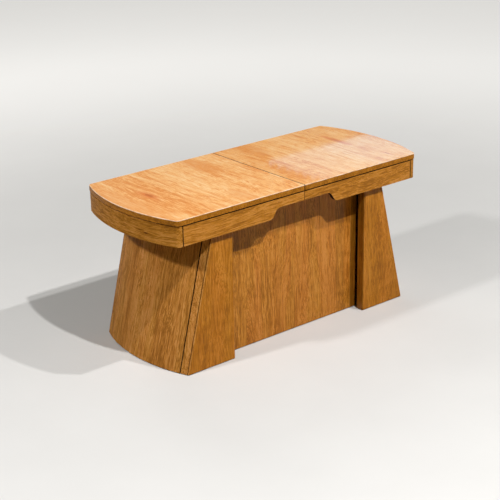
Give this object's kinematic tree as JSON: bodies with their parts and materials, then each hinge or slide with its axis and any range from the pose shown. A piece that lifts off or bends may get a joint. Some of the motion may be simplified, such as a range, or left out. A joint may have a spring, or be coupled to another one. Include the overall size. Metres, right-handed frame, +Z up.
{
  "type": "monks bench",
  "caption": "Extending wooden bench: bowed seat halves on flared U-shaped pedestals draw apart in step over a fixed storage box",
  "frame": {"origin": "on the floor, under the middle of the seam between the two seat halves", "axes": "+X along the bench to the right, +Y to the back, +Z up; the halves draw out along -X and +X"},
  "size_m": [0.964, 0.412, 0.457],
  "materials": {
    "seat_wood": "satin lacquer, honey brown, grain across the bench",
    "apron_wood": "satin lacquer, amber brown, grain along the board",
    "panel_wood": "satin lacquer, amber brown, upright grain",
    "inner_wood": "bare planed beech",
    "rack_steel": "zinc-plated steel",
    "pinion_brass": "cut brass",
    "glide": "dark brown nylon"
  },
  "bodies": {
    "box": {"box_front": "panel_wood", "box_back": "panel_wood", "box_left_end": "panel_wood", "box_right_end": "panel_wood", "box_floor": "inner_wood", "front_rail": "inner_wood", "back_rail": "inner_wood", "front_pinion_axle": "rack_steel", "back_pinion_axle": "rack_steel", "box_front_left_glide": "glide", "box_front_right_glide": "glide", "box_back_left_glide": "glide", "box_back_right_glide": "glide"},
    "left_half": {"left_seat_slab": "seat_wood", "left_seam_dowel": "inner_wood", "left_end_apron": "apron_wood", "left_end_bearer": "inner_wood", "left_pedestal_panel": "panel_wood", "left_head_cleat": "inner_wood", "left_foot_cleat": "inner_wood", "left_near_apron": "apron_wood", "left_near_corner_block": "inner_wood", "left_near_pedestal_board": "panel_wood", "left_near_runner": "inner_wood", "left_near_rack": "rack_steel", "left_near_inner_glide": "glide", "left_near_outer_glide": "glide", "left_far_apron": "apron_wood", "left_far_corner_block": "inner_wood", "left_far_pedestal_board": "panel_wood", "left_far_runner": "inner_wood", "left_far_rack": "rack_steel", "left_far_inner_glide": "glide", "left_far_outer_glide": "glide"},
    "right_half": {"right_seat_slab": "seat_wood", "right_seam_dowel": "inner_wood", "right_end_apron": "apron_wood", "right_end_bearer": "inner_wood", "right_pedestal_panel": "panel_wood", "right_head_cleat": "inner_wood", "right_foot_cleat": "inner_wood", "right_near_apron": "apron_wood", "right_near_corner_block": "inner_wood", "right_near_pedestal_board": "panel_wood", "right_near_runner": "inner_wood", "right_near_rack": "rack_steel", "right_near_inner_glide": "glide", "right_near_outer_glide": "glide", "right_far_apron": "apron_wood", "right_far_corner_block": "inner_wood", "right_far_pedestal_board": "panel_wood", "right_far_runner": "inner_wood", "right_far_rack": "rack_steel", "right_far_inner_glide": "glide", "right_far_outer_glide": "glide"},
    "front_gear": {"front_pinion": "pinion_brass"},
    "back_gear": {"back_pinion": "pinion_brass"}
  },
  "joints": [
    {"name": "left_draw", "type": "slide", "parent": "box", "child": "left_half", "axis": [-1, 0, 0], "range_m": [0, 0.15]},
    {"name": "right_draw", "type": "slide", "parent": "box", "child": "right_half", "axis": [1, 0, 0], "range_m": [0, 0.15]},
    {"name": "front_gear_turn", "type": "hinge", "parent": "box", "child": "front_gear", "pos_m": [0, -0.139, 0.43], "axis": [0, 0, -1], "range_deg": [0, 614]},
    {"name": "back_gear_turn", "type": "hinge", "parent": "box", "child": "back_gear", "pos_m": [0, 0.139, 0.43], "axis": [0, 0, -1], "range_deg": [0, 614]}
  ],
  "couplings": [
    {"joint": "right_draw", "follows": "left_draw", "ratio": 1},
    {"joint": "front_gear_turn", "follows": "left_draw", "rad_per_m": 71.429},
    {"joint": "back_gear_turn", "follows": "left_draw", "rad_per_m": 71.429}
  ]
}
